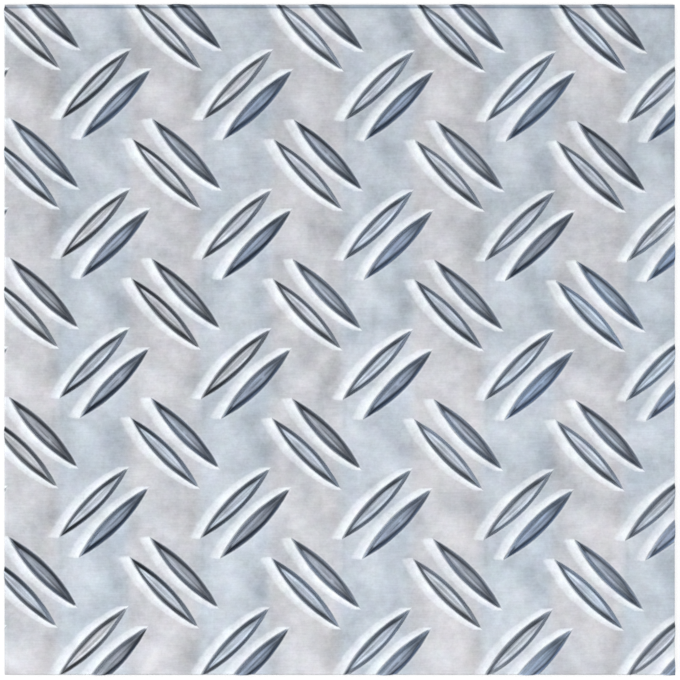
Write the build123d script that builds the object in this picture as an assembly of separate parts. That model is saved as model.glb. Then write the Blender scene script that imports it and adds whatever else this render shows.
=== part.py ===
"""Two-bar aluminium tread sheet, cut square.

One rolled sheet with a flat back. Its face carries raised, pointed bars that lie in pairs
at 45 degrees. The pairs turn by a right angle from one place to the next, as on a
chequerboard, and the sheared edges run straight through the bars that they meet.

The frame has its origin at the middle of the flat back, +Z towards the tread face,
+X along the sheet's length and +Y along its width. All sizes are in millimetres.
"""

from build123d import *
from math import atan2, ceil, degrees, sqrt
import os

# Sheet
sheet_length = 200.0
sheet_width = 200.0
base_thickness = 2.5

# Sheared edges: the shear pulls the face over into a small radius, and the back's burr is broken
edge_roll = 0.3
edge_break = 0.15

# Tread bar, seen from above: a pointed lens between two equal arcs
bar_length = 28.8
bar_width = 4.7
bar_height = 1.5

# Tread bar, in section: a steep flank, then a crown that rises gently to a narrow land
flank_run = 0.95
flat_crown_rise = 0.15
round_crown_rise = 0.45
crown_land_width = 0.7

# How far a bar's root reaches into the sheet below its rolled edge, so that the two join fully
root_overlap = 0.3

# Pattern: the pairs' places on the sheet, and how far the shear's square is turned from it
pitch_along = 42.25
pitch_across = 41.60
bars_in_pair_spacing = 8.4
bar_angle = 45.5
pattern_turn = -0.32
falling_pair_x = -6.6
falling_pair_y = 10.5


def lens_at(inset, height):
    """The bar's outline, moved inwards by inset all round, at a height above the sheet's face."""
    radius = (bar_length**2 + bar_width**2) / (4 * bar_width) - inset
    half_width = bar_width / 2 - inset
    half_length = sqrt(radius**2 - (radius - half_width) ** 2)
    left_tip = (-half_length, 0)
    right_tip = (half_length, 0)
    lower = ThreePointArc(left_tip, (0, -half_width), right_tip)
    upper = ThreePointArc(right_tip, (0, half_width), left_tip)
    return Pos(0, 0, base_thickness + height) * make_face([lower, upper])


def sloped_band(inset, height, run, rise):
    """The bar between two heights: its outline at inset, leaning in by run all round as it rises."""
    return extrude(lens_at(inset, height), rise, taper=degrees(atan2(run, rise)))


def tread_bar(crown_rise):
    """One raised bar at the origin, along X: its root in the sheet, its flank and its crown."""
    root_depth = edge_roll + root_overlap
    flank_height = bar_height - crown_rise
    crown_run = (bar_width - crown_land_width) / 2 - flank_run
    root = extrude(lens_at(0, -root_depth), root_depth)
    flank = sloped_band(0, 0, flank_run, flank_height)
    crown = sloped_band(flank_run, flank_height, crown_run, crown_rise)
    return root + flank + crown


def bar_pair(flat_bar, round_bar, angle):
    """Two bars side by side, turned by angle, with the flat-crowned one on the left."""
    left = bars_in_pair_spacing / 2 if angle > 0 else -bars_in_pair_spacing / 2
    turn = Rot(0, 0, angle)
    return [turn * Pos(0, left, 0) * flat_bar, turn * Pos(0, -left, 0) * round_bar]


def pair_places():
    """Every pair that can reach the sheet: its place, and whether it rises from left to right."""
    reach = (bar_length + bars_in_pair_spacing) / 2
    steps_x = ceil(2 * (sheet_length / 2 + reach + abs(falling_pair_x)) / pitch_along) + 1
    steps_y = ceil(2 * (sheet_width / 2 + reach + abs(falling_pair_y)) / pitch_across) + 1
    start = Pos(falling_pair_x, falling_pair_y, 0) * Rot(0, 0, pattern_turn)
    places = []
    for i in range(-steps_x, steps_x + 1):
        for j in range(-steps_y, steps_y + 1):
            place = start * Pos(i * pitch_along / 2, j * pitch_across / 2, 0)
            near_x = abs(place.position.X) < sheet_length / 2 + reach
            near_y = abs(place.position.Y) < sheet_width / 2 + reach
            if (i + j) % 2 == 0 and near_x and near_y:
                places.append((place, i % 2 == 1))
    return places


def tread_bars():
    """All the bars of the pattern, the outer ones cut off where the shear runs through them."""
    flat_bar = tread_bar(flat_crown_rise)
    round_bar = tread_bar(round_crown_rise)
    pairs = {
        rising: bar_pair(flat_bar, round_bar, bar_angle if rising else -bar_angle)
        for rising in (False, True)
    }
    inside_shear = Box(sheet_length, sheet_width, 3 * (base_thickness + bar_height))
    bars = []
    for place, rising in pair_places():
        for bar in pairs[rising]:
            kept = (place * bar) & inside_shear
            if kept is not None and kept.volume > 0:
                bars.append(kept)
    return bars


def plain_sheet():
    """The sheet between its back and its face, with its rolled and broken edges."""
    flat = (Align.CENTER, Align.CENTER, Align.MIN)
    sheet = Box(sheet_length, sheet_width, base_thickness, align=flat)
    sheet = fillet(sheet.faces().sort_by(Axis.Z)[-1].edges(), edge_roll)
    return chamfer(sheet.faces().sort_by(Axis.Z)[0].edges(), edge_break)


os.makedirs("parts", exist_ok=True)
tread_sheet = plain_sheet() + tread_bars()
export_step(tread_sheet, "parts/tread_sheet.step")
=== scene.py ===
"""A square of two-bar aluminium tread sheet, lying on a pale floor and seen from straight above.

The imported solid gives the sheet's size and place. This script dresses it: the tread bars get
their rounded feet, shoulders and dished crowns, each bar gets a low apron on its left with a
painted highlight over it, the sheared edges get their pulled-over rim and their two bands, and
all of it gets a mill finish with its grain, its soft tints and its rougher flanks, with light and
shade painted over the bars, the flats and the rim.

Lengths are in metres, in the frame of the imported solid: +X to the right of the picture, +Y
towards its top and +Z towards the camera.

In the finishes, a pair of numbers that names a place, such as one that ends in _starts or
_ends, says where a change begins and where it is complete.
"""

import logging
from dataclasses import dataclass, field, fields, replace
from enum import Enum
from itertools import product
from math import cos, pi, radians, sin

import bmesh
import bpy
import numpy as np
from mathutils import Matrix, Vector
from mathutils.geometry import delaunay_2d_cdt

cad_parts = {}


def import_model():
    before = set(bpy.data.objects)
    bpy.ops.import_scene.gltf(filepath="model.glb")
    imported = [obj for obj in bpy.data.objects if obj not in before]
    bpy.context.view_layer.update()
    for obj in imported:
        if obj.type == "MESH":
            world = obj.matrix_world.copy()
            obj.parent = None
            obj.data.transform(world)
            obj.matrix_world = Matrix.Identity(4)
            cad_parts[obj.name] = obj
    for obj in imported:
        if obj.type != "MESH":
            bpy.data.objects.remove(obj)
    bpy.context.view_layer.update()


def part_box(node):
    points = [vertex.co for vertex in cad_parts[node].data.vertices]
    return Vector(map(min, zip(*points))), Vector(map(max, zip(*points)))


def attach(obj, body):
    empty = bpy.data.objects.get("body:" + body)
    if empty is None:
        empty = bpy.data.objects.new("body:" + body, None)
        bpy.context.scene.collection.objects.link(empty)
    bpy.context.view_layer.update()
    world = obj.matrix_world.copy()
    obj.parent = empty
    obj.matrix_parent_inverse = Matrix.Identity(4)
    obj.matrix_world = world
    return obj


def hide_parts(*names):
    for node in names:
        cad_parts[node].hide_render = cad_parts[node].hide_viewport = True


MM = 0.001
NODE = "tread_sheet"

Span = tuple[float, float]
Colour = tuple[float, float, float]
Factors = tuple[float, float, float]
Stops = tuple[tuple[float, float], ...]

WHITE: Colour = (1.0, 1.0, 1.0)

# A bar's right half blends into its left one over this distance on both sides of its axis.
AXIS_BLEND = 0.25 * MM

log = logging.getLogger("tread_sheet")


class Crown(Enum):
    """The two kinds of bar in a pair: the left one's crown is flat, the right one's is round."""

    FLAT = 0
    ROUND = 1


class Side(Enum):
    """The sides of the sheet, each with the number of its finish."""

    FACE = 0
    WALL = 1
    BACK = 2


def smooth_lower(a: np.ndarray, b: np.ndarray, blend: float) -> np.ndarray:
    """The lower of two heights, rounded where they come within blend of each other.

    Formula: the lower height, less a quarter of h squared over blend, where h is blend less the
    distance between the heights, and never below zero.

    Args:
        a: One height at each place.
        b: The other height at each place.
        blend: The distance between the heights at which the rounding starts.

    Returns:
        The rounded lower height at each place.
    """
    near = np.maximum(blend - np.abs(a - b), 0.0)
    return np.minimum(a, b) - near**2 / (4 * blend)


def grid_faces(numbers: np.ndarray) -> np.ndarray:
    """Two triangles for each cell of a grid of vertex numbers, without those that have no area.

    Args:
        numbers: The grid of vertex numbers, one row for each line of the surface.

    Returns:
        The triangles, three vertex numbers each.
    """
    a, b = numbers[:-1, :-1].ravel(), numbers[:-1, 1:].ravel()
    c, d = numbers[1:, 1:].ravel(), numbers[1:, :-1].ravel()
    faces = np.concatenate([np.stack([a, b, c], 1), np.stack([a, c, d], 1)])
    whole = (faces[:, 0] != faces[:, 1]) & (faces[:, 1] != faces[:, 2]) & (faces[:, 2] != faces[:, 0])
    return faces[whole]


def facing_up(places: np.ndarray, faces: np.ndarray) -> np.ndarray:
    """The same triangles, each turned so that its face points to +Z.

    Args:
        places: The vertices.
        faces: The triangles, as vertex numbers.

    Returns:
        The triangles with their corners in anticlockwise order, seen from above.
    """
    first, second, third = (places[faces[:, k], :2] for k in range(3))
    along, across = second - first, third - first
    area = along[:, 0] * across[:, 1] - along[:, 1] * across[:, 0]
    return np.where(area[:, None] < 0, faces[:, ::-1], faces)


def anticlockwise(places: np.ndarray, loops: np.ndarray) -> np.ndarray:
    """The same loops, each turned so that it runs anticlockwise, seen from above.

    Args:
        places: The vertices.
        loops: The closed loops, one row of vertex numbers each.

    Returns:
        The loops.
    """
    x, y = places[loops, 0], places[loops, 1]
    area = (x * np.roll(y, -1, 1) - y * np.roll(x, -1, 1)).sum(1)
    return np.where(area[:, None] < 0, loops[:, ::-1], loops)


@dataclass
class Surface:
    """A stretch of the tread face, as whole arrays.

    Args:
        places: The vertices, in metres.
        bar_place: For each vertex, how far it lies along its bar, across it, and inside its outline.
        bar_kind: For each vertex, whether its bar is round and rising, and the bar's own tone.
        apron: For each vertex, how near it lies to the outline that its apron's painted highlight
            starts at.
        faces: The triangles, as vertex numbers.
        outline: The vertex numbers round the outside, in order. Empty where nothing joins on.
    """

    places: np.ndarray
    bar_place: np.ndarray
    bar_kind: np.ndarray
    apron: np.ndarray
    faces: np.ndarray
    outline: np.ndarray


@dataclass(frozen=True)
class Pattern:
    """The places of the bars, as the rolls print them and the shear cuts through them."""

    pitch_along: float = 42.25 * MM
    pitch_across: float = 41.60 * MM
    pair_spacing: float = 8.4 * MM
    bar_angle: float = radians(45.5)
    turn: float = radians(-0.32)
    falling_pair: Span = (-6.6 * MM, 10.5 * MM)
    spare_steps: int = 4

    def turned(self, places: np.ndarray) -> np.ndarray:
        """Places in the pattern's own axes, turned into the sheet's axes."""
        c, s = cos(self.turn), sin(self.turn)
        return places @ np.array([[c, s], [-s, c]])

    def bars(self, half: np.ndarray, reach: float) -> tuple[np.ndarray, np.ndarray, np.ndarray]:
        """Every bar that touches the sheet.

        The pairs stand on the even places of a grid of half pitches. Those in even columns fall
        from left to right, the others rise. In each pair the left bar lies half the spacing to
        the left, at right angles to the bars, and the right bar as far to the right.

        Args:
            half: Half the sheet's length and width.
            reach: How far a bar's outline goes from its middle.

        Returns:
            The bars' middles, their leans (1 rising, -1 falling) and their kinds of crown.
        """
        steps = int(2 * (max(half) + reach) / min(self.pitch_along, self.pitch_across))
        steps += self.spare_steps
        i, j = np.meshgrid(np.arange(-steps, steps + 1), np.arange(-steps, steps + 1))
        i, j = i[(i + j) % 2 == 0], j[(i + j) % 2 == 0]
        pairs = np.stack([i * self.pitch_along / 2, j * self.pitch_across / 2], 1)
        lean = np.where(i % 2 == 0, -1, 1)
        left = np.stack([-sin(self.bar_angle) + 0 * lean, cos(self.bar_angle) * lean], 1)
        left = left * self.pair_spacing / 2
        middles = self.turned(np.concatenate([pairs + left, pairs - left])) + self.falling_pair
        crowns = np.repeat([Crown.FLAT.value, Crown.ROUND.value], len(i))
        near = (np.abs(middles) < half + reach).all(1)
        return middles[near], np.tile(lean, 2)[near], crowns[near]


@dataclass(frozen=True)
class TreadBar:
    """One raised bar with its apron, as a patch of the tread face about the bar's own middle.

    The bar is a pointed lens between two equal arcs. Its section depends only on the distance
    inside that outline, so the patch is a set of rings, each the outline moved inwards.
    """

    length: float = 28.8 * MM
    width: float = 4.7 * MM
    height: float = 1.5 * MM
    flank_run: float = 0.95 * MM
    crown_rises: Span = (0.15 * MM, 0.45 * MM)
    foot_blend: float = 0.17 * MM
    shoulder_blend: float = 0.14 * MM
    dish_inset: float = 1.95 * MM
    dish_depth: float = 0.04 * MM
    insets: tuple[float, ...] = tuple(
        inset * MM
        for inset in (-0.12, -0.03, 0.06, 0.16, 0.45, 0.75, 0.87, 0.95, 1.04, 1.2, 1.5, 1.8, 2.0, 2.2)
    )
    arc_steps: int = 22
    tip_crowding: float = 0.7
    skirt: float = 0.5 * MM
    apron_height: float = 0.07 * MM
    apron_reach: float = 4.1 * MM
    falling_reach_at_right_tip: float = 3.3 * MM
    rising_reaches_at_right_tip: Span = (3.9 * MM, 4.4 * MM)
    apron_steps: tuple[float, ...] = (0.12, 0.3, 0.6, 1.0)

    @property
    def arc_radius(self) -> float:
        """The radius of the two arcs of the outline."""
        return (self.length**2 + self.width**2) / (4 * self.width)

    @property
    def reach(self) -> float:
        """How far the patch goes from the bar's middle, along the sheet or across it."""
        return self.length / 2 + self.skirt + max(self.apron_reach, *self.rising_reaches_at_right_tip)

    def height_at(self, inset: np.ndarray, crown: Crown) -> np.ndarray:
        """The bar's height above the sheet's face.

        Formula: the lower of a straight flank and a parabola that is level at the bar's axis,
        blended into each other at the shoulder and into the sheet's face at the foot, less a
        shallow dish along the axis. The whole is scaled a little, to end at the bar's height.

        Args:
            inset: The distance inside the outline.
            crown: The bar's kind of crown.

        Returns:
            The height at each inset.
        """
        rise = self.crown_rises[crown.value]
        flank_height = self.height - rise
        half = self.width / 2

        def raw(inset: np.ndarray) -> np.ndarray:
            """The height before the whole is scaled.

            Args:
                inset: The distance inside the outline.

            Returns:
                The height at each inset.
            """
            flank = inset * flank_height / self.flank_run
            from_axis = 1 - (inset - self.flank_run) / (half - self.flank_run)
            arch = flank_height + rise * (1 - from_axis**2)
            top = smooth_lower(flank, arch, self.shoulder_blend)
            above_face = -smooth_lower(-top, np.zeros_like(top), self.foot_blend)
            dish = np.clip((inset - self.dish_inset) / (half - self.dish_inset), 0, 1)
            return above_face - self.dish_depth * dish**2 * (3 - 2 * dish)

        return raw(inset) * self.height / raw(np.array(self.insets)).max()

    def rings(self, share: np.ndarray) -> tuple[np.ndarray, np.ndarray, np.ndarray]:
        """The left arc of each ring, from the lower tip to the upper one.

        Formula: a point at a share of the arc's half angle lies at the arc's radius, less the
        inset, from a centre that is to the right of the axis by the radius less half the width.

        Args:
            share: The places along the arc, from -1 at one tip to 1 at the other.

        Returns:
            Along, across and inset, one row for each ring.
        """
        inset = np.array(self.insets)[:, None]
        radius = self.arc_radius - inset
        centre = self.arc_radius - self.width / 2
        angle = np.arccos(centre / radius) * share
        return radius * np.sin(angle), radius * np.cos(angle) - centre, inset + 0 * angle

    def patch(self, crown: Crown, lean: int, bar_angle: float) -> Surface:
        """The whole patch of a bar: its rings, its crown's core, its skirt and its apron.

        The left arc of each ring is followed by its right arc, back to the lower tip. The apron
        runs from the outline's left arc straight to the left, and falls with the square of the
        distance. At both tips it ends at once, on a line along the sheet.

        Args:
            crown: The bar's kind of crown.
            lean: 1 for a rising bar, -1 for a falling one, which is the other's mirror image.
            bar_angle: The angle of a rising bar with the sheet's length.

        Returns:
            The patch, with its middle at the origin and the sheet's face at height zero.
        """
        n = self.arc_steps
        even = np.linspace(-1, 1, n + 1)
        share = self.tip_crowding * np.sin(even * pi / 2) + (1 - self.tip_crowding) * even
        along, across, inset = self.rings(share)
        along = np.hstack([along, along[:, -2:0:-1]])
        across = np.hstack([across, -across[:, -2:0:-1]])
        inset = np.hstack([inset, inset[:, -2:0:-1]])

        on_left = np.zeros(2 * n)
        on_left[1:n] = 1
        foot_fade = np.clip(1 - (inset - self.insets[0]) / self.flank_run * 2, 0, 1)
        height = self.height_at(inset, crown) + self.apron_height * on_left * foot_fade

        arc_normal = self.arc_radius * np.sin(np.arccos(1 - self.width / 2 / self.arc_radius) * share)
        out_along = arc_normal / self.arc_radius
        out_across = -np.sqrt(1 - out_along**2)
        out_along[[0, -1]], out_across[[0, -1]] = (-1, 1), (0, 0)
        right = np.r_[n : 2 * n, 0]
        skirt_along = along[0, right] + self.skirt * out_along[::-1]
        skirt_across = across[0, right] + self.skirt * out_across[::-1]

        base_along = np.r_[skirt_along[-1], along[0, 1:n], skirt_along[0]]
        base_across = np.r_[skirt_across[-1], across[0, 1:n], skirt_across[0]]
        rising_reach = self.rising_reaches_at_right_tip[crown.value]
        at_tip = rising_reach if lean > 0 else self.falling_reach_at_right_tip
        reach = np.interp(share, [0, 1], [self.apron_reach, at_tip])
        step = np.array(self.apron_steps)[:, None]
        apron_along = base_along - reach * step * cos(bar_angle)
        apron_across = base_across + reach * step * sin(bar_angle)
        full = np.r_[0, np.ones(n - 1), 0]
        apron_height = self.apron_height * full * (1 - step) ** 2

        rings = len(self.insets)
        ring_ids = np.arange(rings * 2 * n).reshape(rings, 2 * n)
        skirt_ids = ring_ids.size + np.arange(n + 1)
        apron_ids = skirt_ids[-1] + 1 + np.arange(len(step) * (n + 1)).reshape(len(step), n + 1)
        base_ids = np.r_[skirt_ids[-1], ring_ids[0, 1:n], skirt_ids[0]]
        left_core, right_core = ring_ids[-1, : n + 1], ring_ids[-1, np.r_[0, 2 * n - 1 : n - 1 : -1]]
        faces = np.concatenate([
            grid_faces(np.hstack([ring_ids, ring_ids[:, :1]])),
            grid_faces(np.stack([left_core, right_core])),
            grid_faces(np.stack([ring_ids[0, right], skirt_ids])),
            grid_faces(np.vstack([base_ids, apron_ids])),
            [[skirt_ids[-1], ring_ids[0, 0], ring_ids[0, 1]]],
            [[skirt_ids[0], ring_ids[0, n], ring_ids[0, n - 1]]],
        ])
        far_side = np.r_[apron_ids[:, 0], apron_ids[-1, 1:], apron_ids[-2::-1, -1]]
        outline = np.r_[base_ids[0], far_side, skirt_ids[:-1]]

        outside = np.full((n + 1) * (1 + len(step)), self.insets[0] - self.skirt)
        a = np.concatenate([along.ravel(), skirt_along, apron_along.ravel()])
        c = np.concatenate([across.ravel(), skirt_across, apron_across.ravel()])
        d = np.concatenate([inset.ravel(), outside])
        z = np.concatenate([height.ravel(), np.zeros(n + 1), apron_height.ravel()])
        # The mask of the aprons' painted highlight, strongest at the bar's left foot.
        apron = np.concatenate([
            (on_left * foot_fade).ravel(), np.zeros(n + 1), (full * (1 - step)).ravel()
        ])
        x = a * cos(bar_angle) - c * sin(bar_angle)
        y = lean * (a * sin(bar_angle) + c * cos(bar_angle))
        kind = np.tile([crown.value, lean > 0, 0.0], (len(a), 1))
        return Surface(np.stack([x, y, z], 1), np.stack([a, c, d], 1), kind, apron, faces, outline)


@dataclass(frozen=True)
class ShearedEdge:
    """The rim of the cut sheet: pulled over at its face, with a bright and a torn band below."""

    roll_run: float = 0.35 * MM
    roll_drop: float = 0.2 * MM
    far_roll_run: float = 1.1 * MM
    roll_lines: tuple[float, ...] = (1.0, 0.6, 0.3, 0.1)
    torn_top: float = 1.45 * MM
    torn_step: float = 0.05 * MM
    torn_slope: float = 0.12 * MM
    back_break: float = 0.15 * MM

    def drop_at(self, from_side: np.ndarray, run: float) -> np.ndarray:
        """How far the face has sunk: the drop times the square of the share of the run left."""
        return self.roll_drop * np.clip(1 - from_side / run, 0, 1) ** 2


@dataclass
class TreadSheet:
    """The sheet: its tread face, cut to size, with its sheared edges and its back.

    Args:
        low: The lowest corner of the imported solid.
        high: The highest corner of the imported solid.
    """

    low: Vector
    high: Vector
    pattern: Pattern = field(default_factory=Pattern)
    bar: TreadBar = field(default_factory=TreadBar)
    edge: ShearedEdge = field(default_factory=ShearedEdge)
    flat_spacing: float = 5 * MM
    seed: int = 7
    cut_tolerance: float = 1e-7
    join_tolerance: float = 1e-5
    back_upright: float = -0.9
    wall_upright: float = 0.5
    smooth_upright: float = 0.3

    @property
    def half(self) -> np.ndarray:
        """Half the sheet's length and width."""
        return np.array([(self.high.x - self.low.x) / 2, (self.high.y - self.low.y) / 2])

    @property
    def face_height(self) -> float:
        """The height of the flat face between the bars."""
        return self.high.z - self.bar.height

    def barred(self) -> Surface:
        """Turns and moves each bar's patch to its place on the sheet.

        Returns:
            All the patches as one surface.
        """
        middles, leans, crowns = self.pattern.bars(self.half, self.bar.reach)
        tones = np.random.default_rng(self.seed).random(len(middles))
        parts, count = [], 0
        for crown, lean in product(Crown, (1, -1)):
            patch = self.bar.patch(crown, lean, self.pattern.bar_angle)
            mine = (crowns == crown.value) & (leans == lean)
            bars, size = mine.sum(), len(patch.places)
            flat = self.pattern.turned(patch.places[:, :2])[None] + middles[mine][:, None, :]
            tall = np.broadcast_to(patch.places[:, 2:], (bars, size, 1)) + self.face_height
            places = np.concatenate([flat, tall], 2).reshape(-1, 3)
            kind = np.tile(patch.bar_kind, (bars, 1))
            kind[:, 2] = np.repeat(tones[mine], size)
            first = count + np.arange(bars)[:, None, None] * size
            parts.append(Surface(
                places, np.tile(patch.bar_place, (bars, 1)), kind, np.tile(patch.apron, bars),
                (patch.faces + first).reshape(-1, 3), patch.outline + first[:, :, 0],
            ))
            count += len(places)
        arrays = ([getattr(part, f.name) for part in parts] for f in fields(Surface))
        whole = Surface(*map(np.concatenate, arrays))
        return replace(whole, faces=facing_up(whole.places, whole.faces))

    def with_flats(self, barred: Surface) -> Surface:
        """Adds the flat face between the bars, joined to their outlines.

        A grid of places covers the sheet and a margin, and a constrained Delaunay triangulation
        joins it to the outlines. Its triangles inside an outline are left out.

        Args:
            barred: The bars' patches.

        Returns:
            The whole tread face, larger than the sheet all round.
        """
        span = self.half + 2 * self.bar.reach
        x, y = (np.arange(-s, s + self.flat_spacing, self.flat_spacing) for s in span)
        gx, gy = np.meshgrid(x, y)
        extra = np.stack([gx.ravel(), gy.ravel(), np.full(gx.size, self.face_height)], 1)
        numbers = np.concatenate([barred.outline.ravel(), len(barred.places) + np.arange(len(extra))])
        loops = np.arange(barred.outline.size).reshape(barred.outline.shape)
        places = np.concatenate([barred.places, extra])
        points = [Vector(p) for p in places[numbers, :2] / MM]
        inner = [list(map(int, loop)) for loop in anticlockwise(places[numbers], loops)]
        joined = delaunay_2d_cdt(points, [], inner, 0, self.join_tolerance, True)
        _, _, faces, origins, _, owners = joined
        raise_if_crossed(len(origins), len(points))
        source = numbers[np.array([origin[0] for origin in origins])]
        flats = source[np.array([face for face, owner in zip(faces, owners) if not owner])]
        outside = np.tile([0, 0, self.bar.insets[0] - self.bar.skirt], (len(extra), 1))
        return Surface(
            places,
            np.concatenate([barred.bar_place, outside]),
            np.concatenate([barred.bar_kind, np.zeros((len(extra), 3))]),
            np.concatenate([barred.apron, np.zeros(len(extra))]),
            np.concatenate([barred.faces, facing_up(places, flats)]),
            np.empty(0, int),
        )

    def as_mesh(self, surface: Surface) -> bpy.types.Mesh:
        """The surface as a Blender mesh, with what the finish needs as attributes.

        Faces that lie wholly past one of the sheet's sides are left out.

        Args:
            surface: The tread face.

        Returns:
            The mesh.
        """
        corners = surface.places[surface.faces][:, :, :2]
        near = ~((corners > self.half).all(1) | (corners < -self.half).all(1)).any(1)
        faces = surface.faces[near]
        used, numbers = np.unique(faces, return_inverse=True)
        mesh = bpy.data.meshes.new(NODE + "_dressed")
        mesh.from_pydata(surface.places[used], [], numbers.reshape(-1, 3))
        for name, values in (("bar_place", surface.bar_place), ("bar_kind", surface.bar_kind)):
            layer = mesh.attributes.new(name, "FLOAT_VECTOR", "POINT")
            layer.data.foreach_set("vector", values[used].astype(np.float32).ravel())
        # The apron mask, which the finish turns into the aprons' painted highlight.
        layer = mesh.attributes.new("apron", "FLOAT", "POINT")
        layer.data.foreach_set("value", surface.apron[used].astype(np.float32))
        return mesh

    def cut_and_close(self, mesh: bpy.types.Mesh) -> None:
        """Cuts the face at the sheet's sides, and closes it with the sheared edges and the back.

        Lines are cut parallel to each side for the rim to bend along. The rim is then carried
        down in bands, each a copy of the last, flattened to its height and drawn in a little.

        Args:
            mesh: The tread face, which is changed in place.
        """
        bm = bmesh.new()
        bm.from_mesh(mesh)
        for side in (Vector((1, 0, 0)), Vector((-1, 0, 0)), Vector((0, 1, 0)), Vector((0, -1, 0))):
            reach = self.half[0] if side.x else self.half[1]
            run = self.edge.far_roll_run if side.y > 0 else self.edge.roll_run
            for share in (0.0, *self.edge.roll_lines):
                geometry = bm.verts[:] + bm.edges[:] + bm.faces[:]
                bmesh.ops.bisect_plane(
                    bm, geom=geometry, dist=self.cut_tolerance, plane_no=side,
                    plane_co=side * (reach - share * run), clear_outer=share == 0.0,
                )
        rim = [edge for edge in bm.edges if edge.is_boundary]
        edge, drawn_in = self.edge, 0.0
        bands = (
            (edge.torn_top, 0.0),
            (edge.torn_top - edge.torn_slope, edge.torn_step),
            (edge.back_break, edge.torn_step),
            (0.0, edge.back_break),
        )
        for level, inset in bands:
            grown = bmesh.ops.extrude_edge_only(bm, edges=rim)["geom"]
            lowered = [part for part in grown if isinstance(part, bmesh.types.BMVert)]
            rim = [part for part in grown if isinstance(part, bmesh.types.BMEdge) and part.is_boundary]
            shrink = (self.half - inset) / (self.half - drawn_in)
            bmesh.ops.scale(bm, vec=(*shrink, 0.0), verts=lowered)
            bmesh.ops.translate(bm, vec=(0, 0, self.low.z + level), verts=lowered)
            drawn_in = inset
        bmesh.ops.triangle_fill(bm, use_beauty=True, edges=rim, normal=(0, 0, -1))
        bmesh.ops.recalc_face_normals(bm, faces=bm.faces)
        bm.to_mesh(mesh)
        bm.free()

    def roll_rim(self, mesh: bpy.types.Mesh) -> None:
        """Sinks the face towards the sheet's sides, where the shear has pulled it over.

        Args:
            mesh: The closed sheet, which is changed in place.
        """
        places = np.empty(len(mesh.vertices) * 3, np.float32)
        mesh.vertices.foreach_get("co", places)
        places = places.reshape(-1, 3)
        from_side = self.half - np.abs(places[:, :2])
        run_y = np.where(places[:, 1] > 0, self.edge.far_roll_run, self.edge.roll_run)
        drop = self.edge.drop_at(from_side[:, 0], self.edge.roll_run)
        drop = np.maximum(drop, self.edge.drop_at(from_side[:, 1], run_y))
        on_face = places[:, 2] > self.face_height - MM / 2
        places[:, 2] -= np.where(on_face, drop, 0)
        mesh.vertices.foreach_set("co", places.ravel())
        mesh.update()

    def dress(self, mesh: bpy.types.Mesh) -> None:
        """Gives the face the mill finish, the walls the sheared one and the back the plain one.

        Args:
            mesh: The closed sheet, which is changed in place.
        """
        count = len(mesh.polygons)
        normals, centres = np.empty(count * 3, np.float32), np.empty(count * 3, np.float32)
        mesh.polygons.foreach_get("normal", normals)
        mesh.polygons.foreach_get("center", centres)
        upright = normals.reshape(-1, 3)[:, 2]
        at_side = (self.half - np.abs(centres.reshape(-1, 3)[:, :2])).min(1) < self.edge.back_break
        wall = at_side & (upright < self.wall_upright)
        finish = np.where(upright < self.back_upright, Side.BACK.value, wall * Side.WALL.value)
        mesh.polygons.foreach_set("material_index", finish.astype(np.int32))
        mesh.polygons.foreach_set("use_smooth", upright > self.smooth_upright)
        half_length, half_width = map(float, self.half)
        finishes = {
            Side.FACE: MillFinish(self.pattern, self.bar, (half_length, half_width)),
            Side.WALL: ShearedFinish(self.edge),
            Side.BACK: BackFinish(),
        }
        for side in Side:
            mesh.materials.append(finishes[side].material())

    def build(self) -> bpy.types.Object:
        """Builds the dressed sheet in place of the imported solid.

        Returns:
            The sheet's object.
        """
        mesh = self.as_mesh(self.with_flats(self.barred()))
        self.cut_and_close(mesh)
        self.roll_rim(mesh)
        self.dress(mesh)
        sheet = bpy.data.objects.new("dressed_tread_sheet", mesh)
        bpy.context.scene.collection.objects.link(sheet)
        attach(sheet, "root")
        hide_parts(NODE)
        return sheet


def raise_if_crossed(found: int, given: int) -> None:
    """Stops the script where two bars' outlines cross, which adds places to the triangulation."""
    if found != given:
        raise ValueError(f"the bars' outlines cross: {found} places came of {given}")


class Wiring:
    """Adds shader nodes to a tree and joins them.

    Args:
        tree: The node tree of a material, a world or a group.
    """

    def __init__(self, tree: bpy.types.NodeTree) -> None:
        """Keeps the tree."""
        self.tree = tree

    def add(self, kind: str, inputs: dict | None = None, **settings: object) -> bpy.types.Node:
        """Adds a node.

        Args:
            kind: The node's type, without its ShaderNode prefix.
            inputs: What to put into the node's inputs, by name or number.
            settings: The node's own properties.

        Returns:
            The node.
        """
        node = self.tree.nodes.new("ShaderNode" + kind)
        for name, value in settings.items():
            setattr(node, name, value)
        for name, value in (inputs or {}).items():
            self.put(value, node.inputs[name])
        return node

    def put(self, value: object, socket: bpy.types.NodeSocket) -> None:
        """Joins a level or a triple to an input, or sets the input to a plain value.

        Args:
            value: The level, triple or plain value.
            socket: The input of a node.
        """
        if isinstance(value, (Level, Triple)):
            self.tree.links.new(value.socket, socket)
        else:
            socket.default_value = (*value, 1.0) if socket.type == "RGBA" else value

    def math(self, operation: str, *values: "Level | float", clamp: bool = False) -> "Level":
        """A Math node's result for these values."""
        node = self.add("Math", dict(enumerate(values)), operation=operation, use_clamp=clamp)
        return Level(self, node.outputs[0])

    def vector_math(self, operation: str, *values: "Triple | Factors") -> "Triple":
        """A Vector Math node's result for these values."""
        node = self.add("VectorMath", dict(enumerate(values)), operation=operation)
        return Triple(self, node.outputs[0])

    def triple(self, *parts: "Level | float") -> "Triple":
        """A triple of these parts. Those that aren't given are 0."""
        return Triple(self, self.add("CombineXYZ", dict(enumerate(parts))).outputs[0])

    def attribute(self, name: str) -> "Triple":
        """What the mesh's attribute of this name says at each place."""
        return Triple(self, self.add("Attribute", attribute_name=name).outputs["Vector"])


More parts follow.
